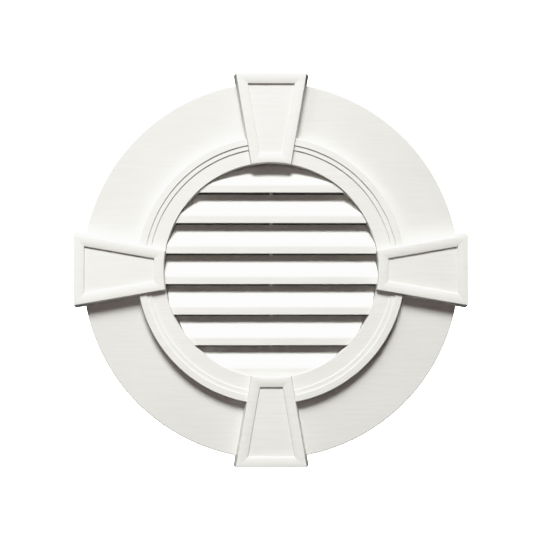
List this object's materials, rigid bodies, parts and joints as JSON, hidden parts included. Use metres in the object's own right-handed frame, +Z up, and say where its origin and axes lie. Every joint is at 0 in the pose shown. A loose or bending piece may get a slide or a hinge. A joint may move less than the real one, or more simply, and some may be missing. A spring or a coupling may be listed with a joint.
{
  "type": "gable vent",
  "caption": "Round louvred gable vent with a stepped ring, flat trim surround and panelled keystones; screws to a wall over a round opening.",
  "frame": {"origin": "centre of the nailing flange's back face, on the opening's axis, in the wall plane", "axes": "+Y into the wall along the opening's axis, +Z up, +X to the right as seen from the front; the vent faces -Y"},
  "size_m": [0.7916, 0.0662, 0.7916],
  "materials": {
    "white_copolymer": "moulded satin white, faint grain",
    "screen_mesh": "dark coated woven mesh"
  },
  "bodies": {
    "root": {"trim_surround": "white_copolymer", "vent_base": "white_copolymer", "keystone_top": "white_copolymer", "keystone_right": "white_copolymer", "keystone_bottom": "white_copolymer", "keystone_left": "white_copolymer", "insect_screen": "screen_mesh"}
  },
  "joints": []
}
